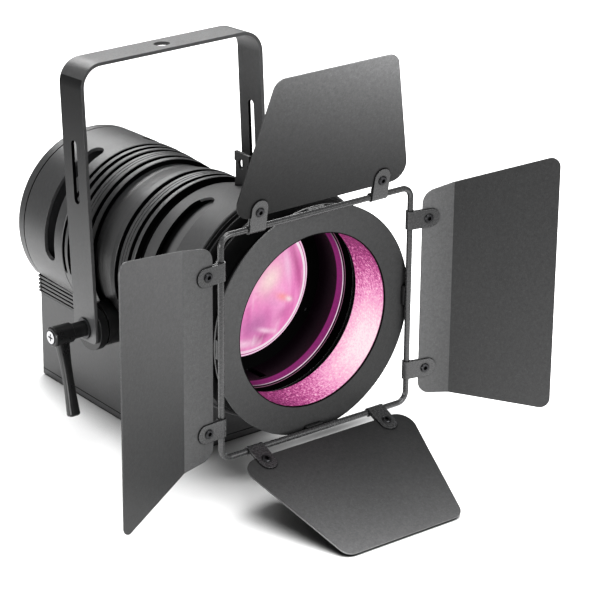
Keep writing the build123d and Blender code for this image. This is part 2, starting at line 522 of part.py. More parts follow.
half = ROD_HALF - ROD_BEND
rodf = None
for a in (0, 90, 180, 270):
    straight = Pos(0, 0, ROD_HALF) * Rot(0, 90, 0) * Cylinder(ROD_R, 2 * half)
    # quarter bend at the corner, centre of curvature at (half, half)
    c = Plane.XY * (Pos(ROD_BEND, 0) * Circle(ROD_R))
    bend = Pos(half, 0, half) * revolve(c, Axis.Y, -90)
    piece = Rot(0, a, 0) * (straight + bend)
    rodf = piece if rodf is None else rodf + piece
keep("rod_frame", Pos(0, Y(0), AXIS_Z) * rodf)

# ---------------------------------------------------------------- flaps and hinge clips
N0, N1 = ROD_R + RUN - SHEET, ROD_R + RUN      # flap sheet, measured from the rod centre towards the front


def flap_plane(kind, ang):
    a = math.radians(ang)
    s, c = math.sin(a), math.cos(a)
    if kind == "top":
        return Plane(origin=(0, Y(0), AXIS_Z + ROD_HALF), x_dir=(1, 0, 0), z_dir=(0, -c, -s))
    if kind == "bottom":
        return Plane(origin=(0, Y(0), AXIS_Z - ROD_HALF), x_dir=(-1, 0, 0), z_dir=(0, -c, s))
    if kind == "left":
        return Plane(origin=(-ROD_HALF, Y(0), AXIS_Z), x_dir=(0, 0, 1), z_dir=(s, -c, 0))
    return Plane(origin=(ROD_HALF, Y(0), AXIS_Z), x_dir=(0, 0, -1), z_dir=(-s, -c, 0))


def trapezoid_flap(us):
    pts = [(-88.1, 11.4), (88.1, 11.4), (59.4, 127.6), (-59.4, 127.6)]
    face = make_face(Polyline(*pts, close=True))
    f = Pos(0, 0, N0) * extrude(face, SHEET)
    f = fillet(f.edges().filter_by(Axis.Z).filter_by(lambda e: e.center().Y < 20), 14.0)
    f = fillet(f.edges().filter_by(Axis.Z).filter_by(lambda e: e.center().Y > 120), 11.0)
    for u in us:
        f -= Pos(u, 15.6, N0) * Cylinder(2.05, 6)
    return f


V_NEAR, V_FOLD, V_OUT = 10.4, 39.5, 127.0


def side_flap(us):
    near = make_face(Polyline((-88.9, V_NEAR), (88.9, V_NEAR), (93.9, V_FOLD), (-93.9, V_FOLD), close=True))
    f = Pos(0, 0, N0) * extrude(near, SHEET)
    vert = f.edges().filter_by(Axis.Z).filter_by(lambda e: e.center().Y < V_FOLD - 1)
    f = fillet(vert, 12.0)
    d = V_OUT - V_FOLD
    far = make_face(Polyline((-93.9, 0), (93.9, 0), (113.9, d), (-113.9, d), close=True))
    g = Pos(0, 0, -SHEET) * extrude(far, SHEET)
    g = fillet(g.edges().filter_by(Axis.Z).filter_by(lambda e: e.center().Y > 1), 8.0)
    f += Pos(0, V_FOLD, N1) * (Rot(FOLD, 0, 0) * g)
    f += Pos(0, V_FOLD, N1) * Rot(0, 90, 0) * Cylinder(SHEET, 2 * 93.9) & (Pos(0, V_FOLD - 5, N0 + SHEET / 2 - 5 + SHEET / 2) * Box(200, 20, 10))
    for u in us:
        f -= Pos(u, 15.6, N0) * Cylinder(2.05, 6)
    return f


def clip(u):
    w = 15.4
    loop = Rot(0, 90, 0) * (Cylinder(ROD_R + RUN + SHEET, w) - Cylinder(ROD_R + RUN, w + 2))
    tongue = Pos(0, 9.0, N1 + SHEET / 2) * Box(w, 18.0, SHEET) + Pos(0, 18.0, N1 + SHEET / 2) * Cylinder(w / 2, SHEET)
    back = Pos(0, 10.9, N0 - 0.6) * Box(w, 15.4, 1.2)
    c = loop + (tongue + back - Rot(0, 90, 0) * Cylinder(ROD_R + RUN, w + 2))
    c += Pos(0, 15.6, (N0 - 1.0 + N1 + 1.0) / 2) * Cylinder(2.0, N1 - N0 + 2.0)
    head = Pos(0, 15.6, N1 + SHEET + 0.7) * Cylinder(3.7, 1.4)
    head = chamfer(head.edges().filter_by(GeomType.CIRCLE).sort_by(Axis.Z)[-1], 0.6)
    c += head
    c -= Pos(0, 15.6, N1 + SHEET + 1.2) * Cylinder(1.7, 1.8)
    c += Pos(0, 15.6, N0 - 1.6) * Cylinder(3.2, 0.9)
    return Pos(u, 0, 0) * c


for kind, ang, flap, us in (
    ("top", ANG_TOP, trapezoid_flap, (-62.0, 60.0)),
    ("bottom", ANG_BOTTOM, trapezoid_flap, (-62.0, 62.0)),
    ("left", ANG_LEFT, side_flap, (-66.5, 66.5)),
    ("right", ANG_RIGHT, side_flap, (-66.5, 66.5)),
):
    loc = flap_plane(kind, ang).location
    keep(f"flap_{kind}", loc * flap(us))
    keep(f"hinge_clips_{kind}", Compound(children=[s for u in us for s in (loc * clip(u)).solids()]))

os.makedirs("parts", exist_ok=True)
for old in os.listdir("parts"):
    if old.endswith(".step") and old[:-5] not in PARTS:
        os.remove(os.path.join("parts", old))
for name, shape in PARTS.items():
    export_step(shape, f"parts/{name}.step")
print(len(PARTS), "nodes")
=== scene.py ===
import bpy
import bmesh
import math
from mathutils import Matrix, Vector


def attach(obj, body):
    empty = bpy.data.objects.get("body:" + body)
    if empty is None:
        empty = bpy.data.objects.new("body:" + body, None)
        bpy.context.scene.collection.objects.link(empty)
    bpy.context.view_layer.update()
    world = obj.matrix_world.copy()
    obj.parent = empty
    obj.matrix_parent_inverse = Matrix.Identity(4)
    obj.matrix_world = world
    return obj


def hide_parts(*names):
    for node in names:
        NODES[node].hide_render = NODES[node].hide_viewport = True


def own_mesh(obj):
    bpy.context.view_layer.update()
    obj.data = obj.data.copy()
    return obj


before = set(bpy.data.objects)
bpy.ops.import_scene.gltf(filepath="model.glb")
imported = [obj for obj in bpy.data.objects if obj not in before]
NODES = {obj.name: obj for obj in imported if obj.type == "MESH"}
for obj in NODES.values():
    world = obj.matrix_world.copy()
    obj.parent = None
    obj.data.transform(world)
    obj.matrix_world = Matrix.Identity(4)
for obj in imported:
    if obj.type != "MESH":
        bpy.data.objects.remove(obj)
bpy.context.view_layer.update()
SCENE = bpy.context.scene

AXIS_Z = 0.1453          # lamp axis above the floor
ROD = -0.2155            # plane of the barn-door rod frame


CAP_SEAM = 317.4         # station of the seam between the rear drum and its cap


def st(s):
    """Station in mm rearward of the rod frame, as a Y coordinate in metres."""
    return ROD + s / 1000.0


# ------------------------------------------------------------------ node helpers
class Mat:
    """Small builder for a node material."""

    def __init__(self, name):
        self.m = bpy.data.materials.new(name)
        self.m.use_nodes = True
        self.t = self.m.node_tree
        self.t.nodes.clear()
        self.out = self.t.nodes.new("ShaderNodeOutputMaterial")
        self.tc = self.t.nodes.new("ShaderNodeTexCoord")
        self.bsdf = self.t.nodes.new("ShaderNodeBsdfPrincipled")
        self.link(self.bsdf.outputs[0], self.out.inputs[0])

    def link(self, a, b):
        self.t.links.new(a, b)

    def put(self, socket, v):
        if hasattr(v, "is_output") or isinstance(v, bpy.types.NodeSocket):
            self.link(v, socket)
        else:
            socket.default_value = v

    def coords(self):
        return self.tc.outputs["Object"]

    def noise(self, scale, detail=2.0, rough=0.5, distort=0.0, vec=None, seed=0.0):
        n = self.t.nodes.new("ShaderNodeTexNoise")
        n.noise_dimensions = "4D"
        n.inputs["W"].default_value = seed
        n.inputs["Scale"].default_value = scale
        n.inputs["Detail"].default_value = detail
        n.inputs["Roughness"].default_value = rough
        n.inputs["Distortion"].default_value = distort
        self.link(vec or self.coords(), n.inputs["Vector"])
        return n.outputs[0]

    def voronoi(self, scale, feature="F1", vec=None):
        n = self.t.nodes.new("ShaderNodeTexVoronoi")
        n.feature = feature
        n.inputs["Scale"].default_value = scale
        self.link(vec or self.coords(), n.inputs["Vector"])
        return n.outputs[0]

    def scaled(self, x, y, z, vec=None, rot=(0, 0, 0)):
        n = self.t.nodes.new("ShaderNodeMapping")
        n.inputs["Scale"].default_value = (x, y, z)
        n.inputs["Rotation"].default_value = rot
        self.link(vec or self.coords(), n.inputs["Vector"])
        return n.outputs[0]

    def math(self, op, a, b=0.0, c=0.0, clamp=False):
        n = self.t.nodes.new("ShaderNodeMath")
        n.operation = op
        n.use_clamp = clamp
        for i, v in enumerate((a, b, c)):
            self.put(n.inputs[i], v)
        return n.outputs[0]

    def remap(self, v, a, b, c, d, smooth=False):
        n = self.t.nodes.new("ShaderNodeMapRange")
        if smooth:
            n.interpolation_type = "SMOOTHSTEP"
        self.put(n.inputs["Value"], v)
        for k, x in zip(("From Min", "From Max", "To Min", "To Max"), (a, b, c, d)):
            n.inputs[k].default_value = x
        return n.outputs[0]

    def mix(self, f, a, b):
        n = self.t.nodes.new("ShaderNodeMix")
        n.data_type = "RGBA"
        self.put(n.inputs[0], f)
        self.put(n.inputs[6], a)
        self.put(n.inputs[7], b)
        return n.outputs[2]

    def scale_colour(self, colour, f):
        n = self.t.nodes.new("ShaderNodeVectorMath")
        n.operation = "SCALE"
        self.put(n.inputs[0], colour)
        self.put(n.inputs["Scale"], f)
        return n.outputs[0]

    def ramp(self, v, stops):
        n = self.t.nodes.new("ShaderNodeValToRGB")
        e = n.color_ramp.elements
        while len(e) > 1:
            e.remove(e[-1])
        e[0].position, e[0].color = stops[0]
        for p, c in stops[1:]:
            x = e.new(p)
            x.color = c
        self.put(n.inputs[0], v)
        return n.outputs[0]

    def xyz(self, vec=None):
        n = self.t.nodes.new("ShaderNodeSeparateXYZ")
        self.link(vec or self.coords(), n.inputs[0])
        return n.outputs

    def radius(self):
        """Distance from the lamp axis."""
        o = self.xyz()
        z = self.math("SUBTRACT", o[2], AXIS_Z)
        return self.math("SQRT", self.math("ADD", self.math("MULTIPLY", o[0], o[0]), self.math("MULTIPLY", z, z)))

    def rounded(self, radius, samples=4):
        n = self.t.nodes.new("ShaderNodeBevel")
        n.samples = samples
        n.inputs["Radius"].default_value = radius
        return n.outputs[0]

    def edge(self, radius, samples=4, lo=0.02, hi=0.25):
        """1 on outside and inside corners within the radius, 0 on flat areas."""
        g = self.t.nodes.new("ShaderNodeNewGeometry")
        d = self.t.nodes.new("ShaderNodeVectorMath")
        d.operation = "DOT_PRODUCT"
        self.link(self.rounded(radius, samples), d.inputs[0])
        self.link(g.outputs["Normal"], d.inputs[1])
        return self.remap(self.math("SUBTRACT", 1.0, d.outputs["Value"]), lo, hi, 0.0, 1.0)

    def crease(self, distance, lo=0.35, hi=0.85, dark=0.2, samples=5):
        """Painted shade: darkens grooves, seams and contact lines narrower than the distance."""
        n = self.t.nodes.new("ShaderNodeAmbientOcclusion")
        n.samples = samples
        n.inputs["Distance"].default_value = distance
        return self.remap(n.outputs["AO"], lo, hi, dark, 1.0)

    def blob(self, x, z, sx, sz, turn=0.0):
        """Soft elliptical spot about (x, z) mm in the plane across the lamp axis, 1 in the middle and 0 far away."""
        o = self.xyz()
        c, sn = math.cos(math.radians(turn)), math.sin(math.radians(turn))
        dx = self.math("SUBTRACT", o[0], x / 1000.0)
        dz = self.math("SUBTRACT", o[2], AXIS_Z + z / 1000.0)
        u = self.math("ADD", self.math("MULTIPLY", dx, c * 1000.0 / sx), self.math("MULTIPLY", dz, sn * 1000.0 / sx))
        v = self.math("ADD", self.math("MULTIPLY", dx, -sn * 1000.0 / sz), self.math("MULTIPLY", dz, c * 1000.0 / sz))
        d = self.math("ADD", self.math("MULTIPLY", u, u), self.math("MULTIPLY", v, v))
        return self.math("EXPONENT", self.math("MULTIPLY", d, -1.0))

    def bearing(self, degrees):
        """Cosine of the angle between the point seen along the lamp axis and the given bearing."""
        o = self.xyz()
        z = self.math("SUBTRACT", o[2], AXIS_Z)
        a = math.radians(degrees)
        d = self.math("ADD", self.math("MULTIPLY", o[0], math.cos(a)), self.math("MULTIPLY", z, math.sin(a)))
        return self.math("DIVIDE", d, self.radius())

    def seen(self, glossy=0.6):
        lp = self.t.nodes.new("ShaderNodeLightPath")
        return self.math("MAXIMUM", lp.outputs["Is Camera Ray"], self.math("MULTIPLY", lp.outputs["Is Glossy Ray"], glossy))

    def bump(self, height, distance, strength=1.0, normal=None):
        n = self.t.nodes.new("ShaderNodeBump")
        n.inputs["Strength"].default_value = strength
        n.inputs["Distance"].default_value = distance
        self.put(n.inputs["Height"], height)
        if normal is not None:
            self.link(normal, n.inputs["Normal"])
        return n.outputs[0]

    def set(self, **kw):
        names = {"color": "Base Color", "rough": "Roughness", "metal": "Metallic", "normal": "Normal", "spec": "Specular IOR Level",
                 "coat": "Coat Weight", "coat_rough": "Coat Roughness", "emit": "Emission Color", "emit_strength": "Emission Strength",
                 "ior": "IOR", "trans": "Transmission Weight", "alpha": "Alpha", "sheen": "Sheen Weight"}
        for k, v in kw.items():
            self.put(self.bsdf.inputs[names[k]], v)
        return self


def rgb(r, g, b):
    return (r, g, b, 1.0)


# ------------------------------------------------------------------ materials
def powder_coat(name, tone, rough=0.46, grain=1.0, edge_highlight=2.2, bevel=0.00045, spec=0.5, peel=1.0, bore=None, painted_light_gradient=None, seams=(), dim=None):
    """Fine-textured charcoal powder coat: speckled grain, shallow orange peel, smoother paint with a painted highlight
    on the edges, painted shade in creases, dark seam lines, optional painted light gradients and painted shade patches.
    """
    m = Mat(name)
    fine = m.noise(1500.0, 2.0, 0.6, seed=0.3)
    pores = m.voronoi(1150.0)
    mid = m.noise(520.0, 3.0, 0.55, seed=1.7)
    broad = m.noise(14.0, 3.0, 0.5, seed=4.1)
    speck = m.remap(m.noise(900.0, 1.0, 0.5, seed=9.2), 0.62, 0.74, 0.0, 1.0)
    shade = m.math("ADD", 1.0, m.math("MULTIPLY", m.math("SUBTRACT", fine, 0.5), 0.9 * grain))
    shade = m.math("ADD", shade, m.math("MULTIPLY", m.math("SUBTRACT", mid, 0.5), 0.5 * grain))
    shade = m.math("ADD", shade, m.math("MULTIPLY", m.math("SUBTRACT", broad, 0.5), 0.22))
    shade = m.math("ADD", shade, m.math("MULTIPLY", speck, 0.35 * grain))
    edge = m.edge(bevel, 4)
    # painted highlight: the colour is lightened on edges and corners
    shade = m.math("MULTIPLY", shade, m.math("ADD", 1.0, m.math("MULTIPLY", edge, edge_highlight - 1.0)))
    mottle = m.noise(330.0, 2.0, 0.7, seed=6.6)
    shade = m.math("MULTIPLY", shade, m.math("ADD", 1.0, m.math("MULTIPLY", m.math("SUBTRACT", mottle, 0.5), 0.75 * grain)))
    # painted shade: colour and specular darkened in creases, grooves and contact lines
    painted_shading_and_seams = m.math("MULTIPLY", m.crease(0.0035, dark=0.12), m.crease(0.0015, lo=0.50, hi=0.97, dark=0.30, samples=6))
    # painted shade: a dark ring on the face at the edge of the bore
    if bore:
        painted_shading_and_seams = m.math("MULTIPLY", painted_shading_and_seams, m.remap(m.radius(), bore, bore + 0.0006, 0.04, 1.0, True))
    for axis, pos, half in seams:
        d = m.math("ABSOLUTE", m.math("SUBTRACT", m.xyz()[axis], pos))
        painted_shading_and_seams = m.math("MULTIPLY", painted_shading_and_seams, m.remap(d, half, half * 1.6, 0.05, 1.0, True))
    # painted light: an exponential brightness gradient across the surface
    if painted_light_gradient:
        o = m.xyz()
        k = m.math("ADD", painted_light_gradient[0], m.math("MULTIPLY", o[0], painted_light_gradient[1]))
        k = m.math("ADD", k, m.math("MULTIPLY", o[1], painted_light_gradient[2]))
        k = m.math("ADD", k, m.math("MULTIPLY", o[2], painted_light_gradient[3]))
        k = m.math("MAXIMUM", 0.3, m.math("MINIMUM", m.math("EXPONENT", k), 2.2))
        shade = m.math("MULTIPLY", shade, k)
        painted_shading_and_seams = m.math("MULTIPLY", painted_shading_and_seams, k)
    if dim:                                          # painted shade: the flanks between the yoke legs and the nose get little light
        o = m.xyz()
        u = m.math("MULTIPLY", m.math("SUBTRACT", o[1], dim[0]), 1.0 / dim[2])
        v = m.math("MULTIPLY", m.math("SUBTRACT", o[2], dim[1]), 1.0 / dim[3])
        near = m.math("EXPONENT", m.math("MULTIPLY", m.math("ADD", m.math("MULTIPLY", u, u), m.math("MULTIPLY", v, v)), -1.0))
        painted_shading_and_seams = m.math("MULTIPLY", painted_shading_and_seams, m.math("SUBTRACT", 1.0, m.math("MULTIPLY", near, dim[4])))
    shade = m.math("MULTIPLY", shade, painted_shading_and_seams)
    spec = m.math("MULTIPLY", painted_shading_and_seams, spec)
    m.set(color=m.scale_colour(rgb(*tone)[:3], shade))
    r = m.math("ADD", rough, m.math("MULTIPLY", m.math("SUBTRACT", mid, 0.5), 0.22))
    r = m.math("SUBTRACT", r, m.math("MULTIPLY", edge, 0.12), clamp=True)
    height = m.math("ADD", m.math("MULTIPLY", fine, 0.55), m.math("MULTIPLY", mid, 0.75))
    height = m.math("ADD", height, m.math("MULTIPLY", pores, 0.35))
    m.set(rough=r, spec=spec, normal=m.bump(height, 0.00022 * peel, 0.55, m.rounded(bevel, 4)))
    return m.m


def black_paint(name, tone=0.0016, rough=0.85, spec=0.04):
    m = Mat(name)
    n = m.noise(700.0, 2.0, 0.6)
    m.set(color=m.scale_colour((tone, tone, tone * 1.05), m.remap(n, 0.3, 0.7, 0.6, 1.4)), rough=m.remap(n, 0.3, 0.7, rough - 0.08, rough + 0.08),
          spec=spec, normal=m.bump(n, 0.00008, 0.4))
    return m.m


def moulded(name, tone, rough=0.38, bevel=0.0006, spec=0.5, grain=0.5, edge_highlight=1.6):
    """Moulded glass-filled nylon: satin skin, faint flow mottling, softened edges with a painted highlight on them."""
    m = Mat(name)
    fine = m.noise(1900.0, 2.0, 0.6, seed=2.2)
    flow = m.noise(60.0, 3.0, 0.5, 0.6, seed=7.7)
    edge = m.edge(bevel, 4)
    shade = m.math("ADD", 1.0, m.math("MULTIPLY", m.math("SUBTRACT", flow, 0.5), 0.5))
    shade = m.math("ADD", shade, m.math("MULTIPLY", m.math("SUBTRACT", fine, 0.5), grain))
    # painted highlight: the colour is lightened on edges and corners
    shade = m.math("MULTIPLY", shade, m.math("ADD", 1.0, m.math("MULTIPLY", edge, edge_highlight - 1.0)))
    m.set(color=m.scale_colour(rgb(*tone)[:3], shade), rough=m.remap(flow, 0.3, 0.7, rough - 0.05, rough + 0.08), spec=spec,
          normal=m.bump(m.math("ADD", fine, m.math("MULTIPLY", flow, 0.4)), 0.00006, 0.4, m.rounded(bevel, 4)))
    return m.m


def metal(name, tone, rough=0.25, brushed=(1, 1, 1), bevel=0.0003, scratch=0.25, dull=0.0, pit=False):
    """Plated or drawn metal with directional brushing, stains and brighter edges."""
    m = Mat(name)
    lines = m.noise(900.0, 3.0, 0.6, vec=m.scaled(*brushed), seed=3.3)
    stain = m.noise(45.0, 4.0, 0.6, 0.4, seed=5.5)
    edge = m.edge(bevel, 4)
    shade = m.math("ADD", 1.0 - dull, m.math("MULTIPLY", m.math("SUBTRACT", stain, 0.5), 0.3))
    shade = m.math("ADD", shade, m.math("MULTIPLY", m.math("SUBTRACT", lines, 0.5), scratch))
    shade = m.math("ADD", shade, m.math("MULTIPLY", edge, 0.25))
    if pit:                                          # painted shade in the socket
        shade = m.math("MULTIPLY", shade, m.crease(0.004, lo=0.35, hi=0.92, dark=0.04))
    r = m.math("ADD", m.remap(stain, 0.3, 0.75, rough - 0.04, rough + 0.1), m.math("MULTIPLY", m.math("SUBTRACT", lines, 0.5), 0.15), clamp=True)
    m.set(color=m.scale_colour(rgb(*tone)[:3], shade), metal=1.0, rough=r, normal=m.bump(lines, 0.00005, 0.35, m.rounded(bevel, 4)))
    return m.m


# painted shade on the flanks beside the yoke legs: station, height, widths and depth
FLANK_SHADE = (st(192), 0.130, 0.030, 0.042, 0.93)
# painted light and shade: one charcoal powder coat in copies whose tones differ from part to part with the light each
# part gets
powder_body = powder_coat("powder_coat_body", (0.045, 0.0452, 0.046), rough=0.36, grain=0.75, edge_highlight=2.4, bevel=0.0006, dim=FLANK_SHADE)
powder_sheet = powder_coat("powder_coat_sheet", (0.060, 0.0603, 0.061), rough=0.46, grain=1.0, edge_highlight=2.0, bevel=0.0004)
powder_nose = powder_coat("powder_coat_nose", (0.056, 0.0562, 0.057), rough=0.36, grain=0.85, edge_highlight=2.4, bevel=0.0006, dim=FLANK_SHADE)
powder_base = powder_coat("powder_coat_base", (0.040, 0.0402, 0.041), rough=0.36, grain=0.75, edge_highlight=3.0, bevel=0.0006, seams=((2, 0.00645, 0.00035),))
powder_rear = powder_coat("powder_coat_rear", (0.043, 0.0432, 0.044), rough=0.36, grain=0.75, edge_highlight=2.4, bevel=0.0006, seams=((1, ROD + CAP_SEAM / 1000.0, 0.00045),))
SHEET = dict(rough=0.46, grain=1.05, edge_highlight=2.6, bevel=0.00045)
# painted light: copies of the sheet paint, one per flap face and the ring, each with its own light gradient
sheet_top = powder_coat("powder_coat_flap_top", (0.060, 0.0603, 0.061), painted_light_gradient=(-3.523, 3.401, -0.002, 11.079), **SHEET)
sheet_bottom = powder_coat("powder_coat_flap_bottom", (0.060, 0.0603, 0.061), painted_light_gradient=(0.444, -1.839, -0.045, -18.888), **SHEET)
sheet_left_near = powder_coat("powder_coat_flap_left_near", (0.060, 0.0603, 0.061), painted_light_gradient=(-0.394, -3.502, 0.000, 0.351), **SHEET)
sheet_left_outer = powder_coat("powder_coat_flap_left_outer", (0.060, 0.0603, 0.061), painted_light_gradient=(-0.125, 1.903, 0.000, 2.722), **SHEET)
sheet_right_near = powder_coat("powder_coat_flap_right_near", (0.060, 0.0603, 0.061), painted_light_gradient=(0.810, -6.805, 0.001, 0.921), **SHEET)
sheet_right_outer = powder_coat("powder_coat_flap_right_outer", (0.060, 0.0603, 0.061), painted_light_gradient=(-0.511, 1.138, -0.000, -0.373), **SHEET)
sheet_ring = powder_coat("powder_coat_ring", (0.060, 0.0603, 0.061), painted_light_gradient=(-0.515, -2.134, 0.000, 1.956), bore=0.0740, **SHEET)
# painted light and shade: a darker copy of the yoke paint for the outer faces of the legs, darker towards the top
yoke_side = powder_coat("powder_coat_yoke_side", (0.040, 0.0402, 0.041), rough=0.38, grain=0.8, edge_highlight=2.2, bevel=0.0005, painted_light_gradient=(0.74, 0.0, 0.0, -4.8))
powder_yoke = powder_coat("powder_coat_yoke", (0.058, 0.0582, 0.059), rough=0.38, grain=0.8, edge_highlight=2.2, bevel=0.0005)
powder_rod = powder_coat("powder_coat_rod", (0.038, 0.0382, 0.039), rough=0.27, grain=0.35, edge_highlight=2.4, bevel=0.0004, spec=0.8, peel=0.35)
baffle_black = black_paint("baffle_black")
# near-black paint of the black inner parts, also put on slot walls, recesses and sockets as painted shade
black_and_painted_shade = black_paint("near_black_and_painted_shade", 0.0011, 0.9, 0.02)
plastic_black = moulded("nylon_black", (0.0036, 0.0036, 0.0038), rough=0.30, edge_highlight=9.0, spec=0.42)
plastic_knob = moulded("nylon_knob", (0.014, 0.014, 0.015), rough=0.42)
plastic_button = moulded("button_plastic", (0.03, 0.03, 0.032), rough=0.45)
plastic_blue = moulded("socket_blue_plastic", (0.02, 0.08, 0.32), rough=0.4, grain=0.3)
plastic_grey = moulded("socket_grey_plastic", (0.34, 0.36, 0.38), rough=0.45, grain=0.25)
steel = metal("zinc_steel", (0.55, 0.56, 0.58), rough=0.3, brushed=(1, 1, 1))
chrome = metal("chrome_screw", (0.52, 0.52, 0.53), rough=0.16, scratch=0.1, pit=True)
dark_rivet = metal("blackened_steel", (0.055, 0.055, 0.058), rough=0.34)
black_edge = black_paint("bore_edge_black", 0.0030, 0.6, 0.10)
aluminium = metal("mill_aluminium", (0.72, 0.73, 0.75), rough=0.32, brushed=(1, 0.05, 1))
nickel = metal("satin_nickel", (0.34, 0.34, 0.35), rough=0.3)


def rubber_mat():
    m = Mat("pad_rubber")
    fine = m.noise(800.0, 3.0, 0.6)
    dust = m.noise(30.0, 4.0, 0.6)
    c = m.mix(m.remap(dust, 0.45, 0.75, 0.0, 0.5), rgb(0.018, 0.018, 0.018), rgb(0.05, 0.048, 0.045))
    m.set(color=c, rough=m.remap(fine, 0.3, 0.7, 0.75, 0.95), spec=0.3, normal=m.bump(fine, 0.0001, 0.6, m.rounded(0.0004)))
    return m.m


def board_mat():
    m = Mat("circuit_board")
    cell = m.voronoi(260.0)
    track = m.noise(180.0, 1.0, 0.5)
    c = m.mix(m.remap(track, 0.47, 0.53, 0.0, 1.0), rgb(0.01, 0.07, 0.03), rgb(0.02, 0.12, 0.05))
    c = m.mix(m.remap(cell, 0.06, 0.12, 0.8, 0.0), c, rgb(0.45, 0.42, 0.35))
    m.set(color=c, rough=m.remap(track, 0.3, 0.7, 0.25, 0.5), spec=0.5, normal=m.bump(track, 0.00008, 0.5, m.rounded(0.0003)))
    return m.m


def display_mat():
    """Dark tinted window with a dim backlit field and even bars, no lettering."""
    m = Mat("display_glass")
    o = m.xyz()
    inx = m.math("MULTIPLY", m.remap(o[0], -0.0430, -0.0425, 0.0, 1.0), m.remap(o[0], -0.0115, -0.0110, 1.0, 0.0))
    inz = m.math("MULTIPLY", m.remap(o[2], 0.0562, 0.0566, 0.0, 1.0), m.remap(o[2], 0.0644, 0.0648, 1.0, 0.0))
    field = m.math("MULTIPLY", inx, inz)
    bars = m.remap(m.math("SINE", m.math("MULTIPLY", o[0], 1100.0)), -0.2, 0.2, 0.25, 1.0)
    glow = m.math("MULTIPLY", field, bars)
    n = m.noise(400.0, 2.0, 0.5)
    m.set(color=m.scale_colour((0.012, 0.012, 0.016), m.remap(n, 0.3, 0.7, 0.8, 1.2)), rough=m.remap(n, 0.3, 0.7, 0.05, 0.12), spec=0.6, coat=0.4, coat_rough=0.05,
          emit=m.mix(glow, rgb(0.0, 0.0, 0.0), rgb(0.05, 0.22, 0.55)), emit_strength=0.6, normal=m.bump(n, 0.00001, 0.2, m.rounded(0.0004)))
    return m.m


def lens_mat():
    """Lit plano-convex glass: soft pink glow with warm streaks, a painted highlight on its bright double rim, and a
    clear glossy skin.
    """
    m = Mat("lens_glow")
    r = m.radius()
    flow = m.scaled(1.0, 1.0, 0.35, rot=(0, math.radians(-32), 0))
    cloud = m.noise(34.0, 2.0, 0.45, 0.9, vec=flow, seed=2.0)
    streak = m.noise(75.0, 2.0, 0.5, 0.8, vec=m.scaled(1.0, 1.0, 0.22, rot=(0, math.radians(58), 0)), seed=6.0)
    stipple = m.noise(420.0, 2.0, 0.5, seed=1.0)
    c = m.ramp(cloud, [(0.28, rgb(0.74, 0.17, 0.45)), (0.42, rgb(0.92, 0.27, 0.60)), (0.55, rgb(1.0, 0.38, 0.70)), (0.72, rgb(1.0, 0.52, 0.80))])
    # the plastic caustics of the light engine seen through the glass: darker lilac fields, a warm field and short bright streaks
    for x, z, sx, sz, turn, tint, k in (
        (0.0, -31.0, 17.0, 13.0, 10.0, (0.52, 0.17, 0.40), 0.85),
        (9.0, -46.0, 11.0, 5.0, 20.0, (0.40, 0.07, 0.24), 0.75),
        (46.0, 12.0, 5.0, 26.0, 14.0, (0.50, 0.09, 0.28), 0.80),
        (30.0, -28.0, 9.0, 6.0, 30.0, (0.60, 0.14, 0.38), 0.65),
        (16.0, -12.0, 9.0, 6.0, -20.0, (0.86, 0.40, 0.66), 0.5),
        (13.0, 8.0, 16.0, 11.0, 35.0, (1.0, 0.76, 0.74), 0.95),
        (34.0, 14.0, 4.5, 17.0, 6.0, (1.0, 0.66, 0.86), 0.7),
        (28.0, -12.0, 9.0, 3.4, -28.0, (1.0, 0.34, 0.36), 0.9),
        (36.0, -16.5, 5.0, 2.2, -30.0, (1.0, 0.86, 0.86), 0.8),
        (12.0, -39.5, 9.0, 2.2, -24.0, (1.0, 0.66, 0.84), 0.9),
        (22.0, -43.0, 5.0, 2.0, -30.0, (1.0, 0.60, 0.80), 0.7),
        (-9.0, -48.0, 12.0, 4.5, -8.0, (1.0, 0.66, 0.84), 0.85),
        (-24.0, 18.0, 16.0, 12.0, 50.0, (1.0, 0.74, 0.84), 0.7),
        (-30.0, -22.0, 12.0, 9.0, 20.0, (0.60, 0.16, 0.42), 0.6),
        (4.0, 38.0, 18.0, 7.0, 12.0, (0.66, 0.20, 0.46), 0.6),
    ):
        c = m.mix(m.math("MULTIPLY", m.blob(x, z, sx, sz, turn), k), c, rgb(*tint))
    c = m.mix(m.remap(streak, 0.60, 0.76, 0.0, 0.45), c, rgb(1.0, 0.80, 0.90))
    # painted highlight: bright double rim, brighter towards one side
    inner = m.math("MULTIPLY", m.remap(r, 0.0550, 0.0562, 0.0, 1.0, True), m.remap(r, 0.0585, 0.0590, 1.0, 0.0, True))
    outer = m.math("MULTIPLY", m.remap(r, 0.0596, 0.0601, 0.0, 1.0, True), m.remap(r, 0.0611, 0.0614, 1.0, 0.0, True))
    gap = m.math("MULTIPLY", m.remap(r, 0.0584, 0.0589, 0.0, 1.0, True), m.remap(r, 0.0596, 0.0601, 1.0, 0.0, True))
    c = m.mix(m.math("MULTIPLY", gap, 0.85), c, rgb(0.42, 0.07, 0.25))
    c = m.mix(m.math("MULTIPLY", inner, m.remap(m.bearing(-20.0), 0.0, 0.9, 0.6, 1.0, True)), c, rgb(1.0, 0.86, 0.95))
    c = m.mix(m.math("MULTIPLY", outer, m.remap(m.bearing(-40.0), 0.0, 0.9, 0.5, 1.0, True)), c, rgb(1.0, 0.78, 0.92))
    shade = m.math("ADD", 0.92, m.math("MULTIPLY", m.math("SUBTRACT", stipple, 0.5), 0.25))
    m.set(color=rgb(0.03, 0.01, 0.02), rough=m.remap(stipple, 0.3, 0.7, 0.04, 0.12), spec=0.5, emit=m.scale_colour(c, shade), emit_strength=m.math("MULTIPLY", m.seen(), 1.0),
          normal=m.bump(stipple, 0.00002, 0.2))
    return m.m


GLOW_SIDE = -33.0        # bearing of the part of the mouth that catches most of the light


